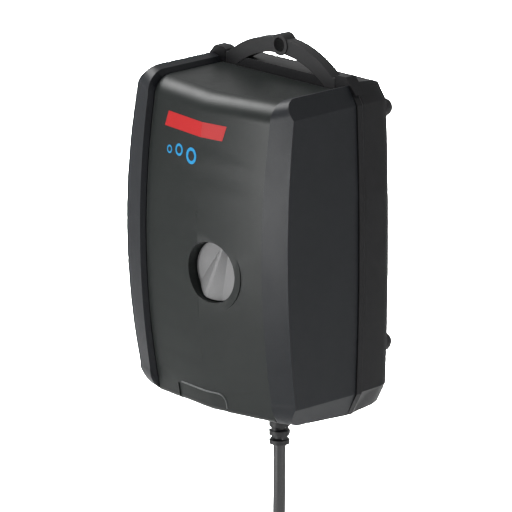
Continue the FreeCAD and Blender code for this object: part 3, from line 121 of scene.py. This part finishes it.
def softbox(name, way, distance, size, power, spread=180):
    """A rectangular lamp that shines at the pump from the direction `way`."""
    data = bpy.data.lights.new(name, "AREA")
    data.shape = "RECTANGLE"
    data.size, data.size_y = size
    data.energy = power
    data.spread = math.radians(spread)
    lamp = bpy.data.objects.new(name, data)
    way = Vector(way).normalized()
    lamp.location = housing_middle + way * distance
    lamp.rotation_mode = "QUATERNION"
    lamp.rotation_quaternion = way.to_track_quat("Z", "Y")
    collection.objects.link(lamp)


softbox("softbox_front", (-0.28, -0.92, -0.20), 1.5, (0.30, 0.9), 30)
softbox("softbox_right", (0.95, 0.06, -0.24), 1.5, (0.16, 0.9), 8)
softbox("softbox_top", (-0.70, -0.14, 0.74), 1.4, (1.2, 1.2), 5, 50)
backdrop_light = bpy.data.lights.new("backdrop_light", "AREA")
backdrop_light.size = 1.0
backdrop_light.energy = 60
backdrop_light.spread = math.radians(50)
backdrop_lamp = bpy.data.objects.new("backdrop_lamp", backdrop_light)
backdrop_lamp.location = (-0.85, 1.10, 1.2)
collection.objects.link(backdrop_lamp)


# ---------------------------------------------------------------- front cover
# The deep front moulding in charcoal plastic, spark-eroded to a fine satin grain.
# Its edges are rounded by about a millimetre.
class Signal:
    """A shader socket that takes part in arithmetic: each operation adds a Math node."""

    def __init__(self, finish, socket):
        self.finish = finish
        self.socket = socket

    def math(self, operation, first, second=None):
        values = {0: first} if second is None else {0: first, 1: second}
        return self.finish.node("ShaderNodeMath", {"operation": operation}, values)

    def __add__(self, other):
        return self.math("ADD", self, other)

    def __radd__(self, other):
        return self.math("ADD", other, self)

    def __mul__(self, other):
        return self.math("MULTIPLY", self, other)

    def __rmul__(self, other):
        return self.math("MULTIPLY", other, self)

    def over(self, edge, width):
        """0 below edge, 1 above it, with a ramp of the given width between."""
        span = {"From Min": edge - width / 2, "From Max": edge + width / 2, "Value": self}
        return self.finish.node("ShaderNodeMapRange", {"clamp": True}, span, "Result")


class Finish:
    """A material built node by node round one Principled shader."""

    def __init__(self, name, colour, roughness, **fixed):
        self.material = bpy.data.materials.new(name)
        self.material.use_nodes = True
        self.tree = self.material.node_tree
        self.shader = self.tree.nodes["Principled BSDF"]
        self.shader.inputs["Base Color"].default_value = (*colour, 1)
        self.shader.inputs["Roughness"].default_value = roughness
        for socket, value in fixed.items():
            self.shader.inputs[socket.replace("_", " ")].default_value = value
        self.place = self.node("ShaderNodeTexCoord", {}, {}, "Object")

    def node(self, kind, settings, values, output=0):
        """Adds a node: its settings first, then the values or links of its sockets."""
        made = self.tree.nodes.new(kind)
        for name, value in settings.items():
            setattr(made, name, value)
        for name, value in values.items():
            socket = made.inputs[name]
            if isinstance(value, Signal):
                self.tree.links.new(value.socket, socket)
            else:
                socket.default_value = value
        return Signal(self, made.outputs[output])

    def noise(self, scale, detail=3.0, roughness=0.55, stretch=None):
        """Cloudy noise from 0 to 1 on the object's own coordinates."""
        place = self.place
        if stretch:
            place = self.node("ShaderNodeVectorMath", {"operation": "MULTIPLY"}, {0: place, 1: stretch})
        values = {"Vector": place, "Scale": scale, "Detail": detail, "Roughness": roughness}
        return self.node("ShaderNodeTexNoise", {}, values, "Fac")

    def waves(self, letter, pitch):
        """Ridges across one axis, from 0 to 1, the given pitch apart in metres."""
        turn = self.axis(letter) * (2 * math.pi / pitch)
        return turn.math("SINE", turn) * 0.5 + 0.5

    def axis(self, letter):
        """One of the object's own coordinates, in metres."""
        return self.node("ShaderNodeSeparateXYZ", {}, {0: self.place}, letter)

    def mix(self, factor, first, second):
        """A colour between two."""
        return self.node("ShaderNodeMix", {"data_type": "RGBA"}, {0: factor, 6: first, 7: second}, 2)

    def feed(self, socket, signal):
        """Links a signal to the shader."""
        self.tree.links.new(signal.socket, self.shader.inputs[socket])

    def relief(self, height, depth, strength=1.0):
        """Turns a height signal into a bump of the given depth in metres."""
        values = {"Height": height, "Distance": depth, "Strength": strength}
        self.feed("Normal", self.node("ShaderNodeBump", {}, values, "Normal"))


def moulded_plastic(name, colour, roughness, grain=2600, depth=0.00004, gloss=0.5):
    """Satin moulding: fine spark-eroded grain, slow colour drift, faint handling marks."""
    finish = Finish(name, colour, roughness, Specular_IOR_Level=gloss)
    drift = finish.noise(35, 2)
    specks = finish.noise(1400, 2, 0.6).over(0.66, 0.12)
    paler = tuple(min(1.0, part * 1.25 + 0.003) for part in colour)
    finish.feed("Base Color", finish.mix(drift * 0.5 + specks * 0.35, (*colour, 1), (*paler, 1)))
    marks = finish.noise(90, 4, 0.7, (1.0, 1.0, 0.35)).over(0.6, 0.3)
    finish.feed("Roughness", drift * 0.10 + marks * 0.05 + (roughness - 0.07))
    finish.relief(finish.noise(grain, 2, 0.6), depth)
    return finish


def paint(name, finish):
    """Gives a carried-over piece one finish all over."""
    mesh = nodes[name].data
    mesh.materials.clear()
    mesh.materials.append(finish.material)
    mesh.polygons.foreach_set("material_index", np.zeros(len(mesh.polygons), dtype=np.int32))


def dressed(name, mesh, finish, body="housing", smooth=True):
    """An object for a finished mesh, in one material, riding on a body."""
    mesh.materials.clear()
    mesh.materials.append(finish.material)
    mesh.polygons.foreach_set("material_index", np.zeros(len(mesh.polygons), dtype=np.int32))
    mesh.polygons.foreach_set("use_smooth", np.full(len(mesh.polygons), smooth))
    piece = bpy.data.objects.new(name, mesh)
    collection.objects.link(piece)
    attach(piece, body)
    return piece


def softened(name, finish, width, body="housing", angle=24):
    """A copy of a crisp-edged piece with the edges that turn by more than `angle` degrees
    rounded off over `width`, as moulded."""
    mesh = nodes[name].data.copy()
    mesh.name = name + "_moulded"
    form = bmesh.new()
    form.from_mesh(mesh)
    bmesh.ops.remove_doubles(form, verts=form.verts, dist=0.000004)
    bmesh.ops.dissolve_limit(form, angle_limit=math.radians(1.0), verts=form.verts, edges=form.edges)
    form.to_mesh(mesh)
    form.free()
    piece = dressed(name + "_moulded", mesh, finish, body)
    bevel = piece.modifiers.new("rounding", "BEVEL")
    bevel.width = width
    bevel.segments = 3
    bevel.limit_method = "ANGLE"
    bevel.angle_limit = math.radians(angle)
    bevel.use_clamp_overlap = True
    normals = piece.modifiers.new("even_normals", "WEIGHTED_NORMAL")
    normals.keep_sharp = True
    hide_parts(name)
    return piece


band_plastic = moulded_plastic("band_plastic", (0.012, 0.0135, 0.016), 0.42, gloss=0.2)
cover = softened("front_cover", band_plastic, 0.0009)

# ---------------------------------------------------------------- front panel
# The bowed plate clipped into the cover's sunk middle, a shade greener than the bands.
# A printed badge sits on its upper half: one red bar over three blue rings.
panel_plastic = moulded_plastic("panel_plastic", (0.009, 0.0112, 0.0106), 0.39, gloss=0.24)
panel = softened("front_panel", panel_plastic, 0.0003)


def on_panel(mesh, lift):
    """Lays a flat drawing, made in X and Z, on the front panel, standing proud by `lift`."""
    in_front = -0.2
    bpy.context.view_layer.update()
    evaluated = bpy.context.evaluated_depsgraph_get()
    for vert in mesh.vertices:
        start = Vector((vert.co.x, in_front, vert.co.z))
        hit, place, _, _ = panel.ray_cast(start, Vector((0, 1, 0)), depsgraph=evaluated)
        vert.co.y = (place.y if hit else cover_low[1]) - lift
    return mesh


def drawn_ring(form, x, z, outer, inner, steps=48):
    """Adds a flat ring between two circles to a flat drawing."""
    turn = [2 * math.pi * i / steps for i in range(steps)]
    rims = []
    for radius in (outer, inner):
        rims.append([form.verts.new((x + radius * math.cos(a), 0, z + radius * math.sin(a)))
                     for a in turn])
    for i in range(steps):
        after = (i + 1) % steps
        form.faces.new((rims[0][i], rims[0][after], rims[1][after], rims[1][i]))


def badge(name, draw, finish):
    """A thin printed mark on the panel: `draw` fills a flat drawing, which is laid on it."""
    form = bmesh.new()
    draw(form)
    for face in form.faces:
        face.normal_update()
        if face.normal.y > 0:
            face.normal_flip()
    mesh = bpy.data.meshes.new(name)
    form.to_mesh(mesh)
    form.free()
    ink_lift = 0.00006
    piece = dressed(name, on_panel(mesh, ink_lift), finish, smooth=False)
    return piece


def draw_bar(form):
    """A plain slanted bar in a fine grid, so that it follows the bowed panel."""
    across, up = 60, 8
    left, foot = -0.0250, -0.0312
    width, height, slant = 0.0360, 0.0062, 0.0016
    grid = [[form.verts.new((left + width * i / across + slant * j / up, 0, foot + height * j / up))
             for i in range(across + 1)] for j in range(up + 1)]
    for j in range(up):
        for i in range(across):
            form.faces.new((grid[j][i], grid[j][i + 1], grid[j + 1][i + 1], grid[j + 1][i]))


def draw_bubbles(form):
    """Three bubbles of growing size, as rings."""
    inner_share = 0.62
    for x, z, radius in ((-0.0205, -0.0402, 0.0017), (-0.0140, -0.0392, 0.0025),
                         (-0.0055, -0.0400, 0.0034)):
        drawn_ring(form, x, z, radius, radius * inner_share)


red_ink = moulded_plastic("red_ink", (0.34, 0.004, 0.005), 0.55, 1800, 0.00001, 0.3)
blue_ink = moulded_plastic("blue_ink", (0.008, 0.20, 0.42), 0.48, 1800, 0.00001, 0.3)
badge("badge_bar", draw_bar, red_ink)
badge("badge_bubbles", draw_bubbles, blue_ink)


def scoop_bead():
    """The fine raised line along the top and right side of the outlet's scoop: a level run,
    a quarter circle and a short upright run."""
    left, top, right, corner = -0.0170, -0.1386, 0.0100, 0.0036
    spots = [(left + 0.0015 * i, top) for i in range(16)]
    spots += [(right - corner + corner * math.sin(a), top - corner + corner * math.cos(a))
              for a in np.linspace(0.15, math.pi / 2, 7)]
    spots += [(right, top - corner - 0.0006 * i) for i in range(1, 5)]
    line = bpy.data.curves.new("scoop_bead", "CURVE")
    line.dimensions = "3D"
    line.bevel_depth = 0.00036
    line.bevel_resolution = 3
    line.use_fill_caps = True
    marks = bpy.data.meshes.new("scoop_marks")
    marks.from_pydata([(x, 0, z) for x, z in spots], [], [])
    on_panel(marks, 0.00005)
    run = line.splines.new("NURBS")
    run.points.add(len(spots) - 1)
    for point, vert in zip(run.points, marks.vertices):
        point.co = (*vert.co, 1)
    run.order_u = 3
    run.use_endpoint_u = True
    bpy.data.meshes.remove(marks)
    return line


# The bead's pale grey, far lighter than the panel's plastic, is a painted highlight standing in for the
# light caught along its rounded edge.
bead_painted_highlight = moulded_plastic("bead_painted_highlight", (0.060, 0.066, 0.066), 0.34, 2600, 0.00001)
bead_line = scoop_bead()
bead_line.materials.append(bead_painted_highlight.material)
bead = bpy.data.objects.new("scoop_bead", bead_line)
collection.objects.link(bead)
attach(bead, "housing")

# ---------------------------------------------------------------- rear housing
# The shallow back shell, nearly black, with its lip at the seam, held by long screws.
# The slotted filter lid on its back is moulded in the same plastic.
rear_plastic = moulded_plastic("rear_plastic", (0.009, 0.009, 0.010), 0.45, gloss=0.2)
rear = softened("rear_housing", rear_plastic, 0.0009)
filter_lid = softened("filter_cover", rear_plastic, 0.0002)

# ---------------------------------------------------------------- rubber hanger and feet
# Matt black rubber with a slight bloom: the moulded hanger, soft at every edge, the feet
# pressed into the back, and inside the two flaps, the O-ring and the arm's bush.
black_rubber = moulded_plastic("black_rubber", (0.010, 0.010, 0.011), 0.55, 900, 0.00003, 0.35)
hanger = softened("hanger", black_rubber, 0.0009, angle=30)
for name in ("rubber_feet", "inlet_flap", "outlet_flap", "spindle_seal", "arm_bush"):
    paint(name, black_rubber)

# ---------------------------------------------------------------- bellows
# A moulded rubber bellows, its rim clamped to the valve plate and its far end screwed to the arm.
# Here it is one fixed copy and does not move with the arm.
bellows_mesh = nodes["bellows"].data.copy()
bellows_mesh.name = "bellows_skin"
bellows_mesh.materials.clear()
bellows_mesh.materials.append(black_rubber.material)
bellows_mesh.polygons.foreach_set("material_index",
                                  np.zeros(len(bellows_mesh.polygons), dtype=np.int32))
bellows = bpy.data.objects.new("bellows_skin", bellows_mesh)
collection.objects.link(bellows)
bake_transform(bellows)
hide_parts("bellows")

# ---------------------------------------------------------------- flow knob
# A satin grey moulding with a raised pointer bar, pressed on the valve's spindle.
# Its edges are only just broken.
knob_plastic = moulded_plastic("knob_plastic", (0.17, 0.17, 0.172), 0.34, 2000, 0.00003)
knob = softened("control_knob", knob_plastic, 0.0004, body="knob")

# ---------------------------------------------------------------- mains lead
# A round two-core lead of 5.3 mm in a satin black sheath. It hangs straight out of the
# relief, is wound into a neat tied coil, and runs on down to the flat two-pin plug.
relief_low, relief_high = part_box("strain_relief")
coil_low, coil_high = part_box("lead_coil")
coil_z = (coil_low[2] + coil_high[2]) / 2
lead_y = (relief_low[1] + relief_high[1]) / 2
lead_dia = 0.0053
lead_pitch = 0.0055


def coil_turns():
    """Turns side by side in two layers: the outer three first, then back through the inner
    three. A turn is a circle of 14 points that eases over to the next one's radius and depth
    in its last third."""
    per_turn = 14
    level_share = 0.70
    radii = (0.0283, 0.0338)
    depths = (-lead_pitch, 0.0, lead_pitch)
    order = ((1, 0), (1, 1), (1, 2), (0, 2), (0, 1), (0, 0))
    start = math.radians(160)
    spots = []
    for turn, (layer, row) in enumerate(order):
        after = order[min(turn + 1, len(order) - 1)]
        share = np.arange(per_turn) / per_turn
        slide = np.clip((share - level_share) / 0.30, 0, 1)
        slide = slide * slide * (3 - 2 * slide)
        radius = radii[layer] + (radii[after[0]] - radii[layer]) * slide
        depth = depths[row] + (depths[after[1]] - depths[row]) * slide
        angle = start + 2 * math.pi * share
        spots.append(np.stack([radius * np.cos(angle), lead_y + depth,
                               coil_z + radius * np.sin(angle)], axis=1))
    return np.concatenate(spots).tolist()


hanging = [(0, lead_y, -0.134), (0, lead_y, -0.170), (0, lead_y, -0.212), (-0.010, lead_y, -0.240),
           (-0.026, lead_y - 0.003, -0.257)]
leaving = [(-0.0305, lead_y + 0.002, -0.291), (-0.0315, lead_y + 0.0053, -0.312),
           (-0.031, lead_y + 0.0053, -0.335)]
lead_points = hanging + coil_turns() + leaving
lead_curve = bpy.data.curves.new("mains_lead_cord", "CURVE")
lead_curve.dimensions = "3D"
lead_curve.bevel_depth = lead_dia / 2
lead_curve.bevel_resolution = 6
lead_curve.resolution_u = 4
lead_curve.use_fill_caps = True
lead_line = lead_curve.splines.new("NURBS")
lead_line.points.add(len(lead_points) - 1)
for point, spot in zip(lead_line.points, lead_points):
    point.co = (*spot, 1)
lead_line.order_u = 3
lead_line.use_endpoint_u = True
lead = bpy.data.objects.new("mains_lead_cord", lead_curve)
collection.objects.link(lead)
lead_sheath = moulded_plastic("lead_sheath", (0.014, 0.014, 0.015), 0.26, 1800, 0.00001, 0.7)
lead_curve.materials.append(lead_sheath.material)
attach(lead, "housing")
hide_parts("mains_lead", "lead_coil", "lead_tail")

# ---------------------------------------------------------------- strain relief
# A soft tapered rubber sleeve on the lead: a flange and neck inside the wall, and five rings
# outside it, with deeper slots between them at front and back and at the sides by turns.
relief_rubber = moulded_plastic("relief_rubber", (0.011, 0.011, 0.012), 0.48, 1600, 0.00002, 0.4)


def smooth_step(value, edge, width):
    """0 below edge and 1 above it, eased over the given width."""
    share = np.clip((value - edge) / width + 0.5, 0, 1)
    return share * share * (3 - 2 * share)


def closed_tube(name, rings):
    """A mesh from rows of points, ring after ring, closed round and joined end to end."""
    rows, around = rings.shape[:2]
    faces = []
    for row in range(rows):
        below = (row + 1) % rows
        for i in range(around):
            after = (i + 1) % around
            faces.append((row * around + i, row * around + after,
                          below * around + after, below * around + i))
    mesh = bpy.data.meshes.new(name)
    mesh.from_pydata(rings.reshape(-1, 3).tolist(), [], faces)
    form = bmesh.new()
    form.from_mesh(mesh)
    bmesh.ops.recalc_face_normals(form, faces=form.faces)
    form.to_mesh(mesh)
    form.free()
    return mesh


def relief_mesh():
    """The sleeve's outside from the flange down, then its bore back up. Each row is a circle
    round the lead; below the wall its radius tapers and dips once in every ring's length by an
    eased groove, which is deeper on the two sides that face a slot."""
    around = 96
    ring_count = 5
    ring_radius, ring_taper = 0.0046, 0.0003
    web_dip, slot_dip = 0.0005, 0.0017
    foot_radius = 0.0036
    flange_thick, edge_break = 0.0030, 0.0002
    top = relief_high[2]
    foot = relief_low[2]
    wall_low = cover_low[2] - 0.0003
    flange_radius = (relief_high[0] - relief_low[0]) / 2
    neck_radius = 0.00375
    ring_pitch = (wall_low - foot) / ring_count
    turn = np.arange(around) * 2 * np.pi / around
    heights = [top, top - edge_break, top - 0.0028, top - flange_thick]
    reach = [flange_radius - 0.0004, flange_radius, flange_radius, flange_radius - 0.0004]
    heights += [top - flange_thick, wall_low]
    reach += [neck_radius, neck_radius]
    rows = [np.full(around, radius) for radius in reach]
    steps = 90
    for step in range(steps + 1):
        down = step / steps * (wall_low - foot)
        ring = min(int(down / ring_pitch), ring_count - 1)
        place = down / ring_pitch - ring
        outer = ring_radius - ring_taper * down / (wall_low - foot)
        web = outer - web_dip
        slot = outer - slot_dip
        groove = smooth_step(place, 0.10, 0.12) * (1 - smooth_step(place, 0.48, 0.12))
        facing = np.abs(np.cos(turn)) if ring % 2 else np.abs(np.sin(turn))
        open_side = smooth_step(facing, 0.42, 0.16)
        rows.append(outer - groove * ((outer - web) + open_side * (web - slot)))
        heights.append(wall_low - down)
    heights += [foot, foot, top]
    rows += [np.full(around, radius) for radius in (foot_radius, lead_dia / 2, lead_dia / 2)]
    radius = np.array(rows)
    rings = np.stack([radius * np.cos(turn), lead_y + radius * np.sin(turn),
                      np.repeat(np.array(heights)[:, None], around, axis=1)], axis=2)
    return closed_tube("relief_sleeve", rings)


relief = dressed("relief_sleeve", relief_mesh(), relief_rubber)
relief_edges = relief.modifiers.new("edges", "EDGE_SPLIT")
relief_edges.split_angle = math.radians(50)
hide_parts("strain_relief")

# ---------------------------------------------------------------- plug and tie
# A flat two-pin plug moulded on the lead's end, with nickel-plated pins, and the reusable
# black tie round the coil.
plug_plastic = moulded_plastic("plug_plastic", (0.013, 0.013, 0.014), 0.40, 1800, 0.00002)
plug = softened("plug_body", plug_plastic, 0.0006, angle=30)
pin_metal = Finish("pin_metal", (0.70, 0.68, 0.64), 0.22, Metallic=1.0)
pin_metal.feed("Roughness", pin_metal.noise(300, 4, 0.6, (4.0, 4.0, 0.6)) * 0.16 + 0.16)
pin_metal.relief(pin_metal.noise(900, 2, 0.5, (3.0, 3.0, 0.4)), 0.000008)
paint("plug_pins", pin_metal)
tie_plastic = moulded_plastic("tie_plastic", (0.018, 0.018, 0.019), 0.5, 1400, 0.00002)
tie = softened("coil_tie", tie_plastic, 0.0003, angle=40)
for piece in (plug, tie):
    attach(piece, "housing")

# ---------------------------------------------------------------- inner mouldings
# Uncoloured nylon for the pump block, plates, arm and clamp, dark acetal for the spindle,
# throttle and outlet, a red nylon bobbin, and pale rubber hoses pushed on their stubs.
pale_nylon = moulded_plastic("pale_nylon", (0.56, 0.54, 0.47), 0.46, 1500, 0.00003)
for name in ("pump_block", "valve_plate", "bellows_clamp", "swing_arm", "cord_clamp"):
    paint(name, pale_nylon)
dark_acetal = moulded_plastic("dark_acetal", (0.035, 0.036, 0.038), 0.34, 1800, 0.00002)
for name in ("valve_spindle", "throttle_body", "outlet_nipple"):
    paint(name, dark_acetal)
bobbin_nylon = moulded_plastic("bobbin_nylon", (0.30, 0.045, 0.03), 0.42, 1500, 0.00003)
paint("coil_bobbin", bobbin_nylon)
hose_rubber = moulded_plastic("hose_rubber", (0.62, 0.63, 0.60), 0.36, 700, 0.00002)
for name in ("pump_hose", "outlet_hose"):
    paint(name, hose_rubber)

# ---------------------------------------------------------------- electromagnet and metal
# Stacked steel laminations with dark varnish, enamelled copper wound in fine turns,
# a dark ferrite magnet and bright zinc-plated screws.
core_steel = Finish("core_steel", (0.17, 0.17, 0.18), 0.42, Metallic=0.8)
core_steel.feed("Roughness", core_steel.noise(220, 4) * 0.25 + 0.32)
core_steel.relief(core_steel.waves("Y", 0.0007), 0.00008)
paint("core_laminations", core_steel)
copper = Finish("enamelled_copper", (0.62, 0.22, 0.07), 0.25, Metallic=0.9)
copper_shade = copper.mix(copper.noise(150, 3), (0.60, 0.20, 0.06, 1), (0.74, 0.30, 0.10, 1))
copper.feed("Base Color", copper_shade)
copper.relief(copper.waves("Z", 0.0005), 0.00008)
paint("coil_winding", copper)
ferrite = Finish("ferrite", (0.035, 0.033, 0.034), 0.5)
ferrite.feed("Roughness", ferrite.noise(400, 3) * 0.3 + 0.35)
ferrite.relief(ferrite.noise(1600, 2), 0.00002)
paint("arm_magnet", ferrite)
zinc = Finish("zinc_plate", (0.62, 0.62, 0.60), 0.30, Metallic=1.0)
zinc_tone = zinc.mix(zinc.noise(260, 3), (0.56, 0.56, 0.53, 1), (0.68, 0.67, 0.62, 1))
zinc.feed("Base Color", zinc_tone)
zinc.feed("Roughness", zinc.noise(500, 4) * 0.22 + 0.20)
zinc.relief(zinc.noise(1300, 2), 0.00001)
for name in ("housing_screws", "throttle_screws", "block_screws", "bellows_screw", "bracket_screws",
             "core_screws", "clamp_screws", "pivot_pin", "pivot_bracket"):
    paint(name, zinc)

# ---------------------------------------------------------------- felt and wires
# A pale felt filter with a woolly nap, and the lead's two insulated wires in brown.
felt = Finish("filter_wool", (0.66, 0.64, 0.58), 0.95)
felt.feed("Base Color", felt.mix(felt.noise(900, 4, 0.7), (0.55, 0.53, 0.47, 1), (0.76, 0.74, 0.68, 1)))
felt.relief(felt.noise(1500, 5, 0.7), 0.0002)
paint("filter_felt", felt)
wire_skin = moulded_plastic("wire_skin", (0.09, 0.035, 0.018), 0.36, 1800, 0.00001)
paint("lead_wires", wire_skin)
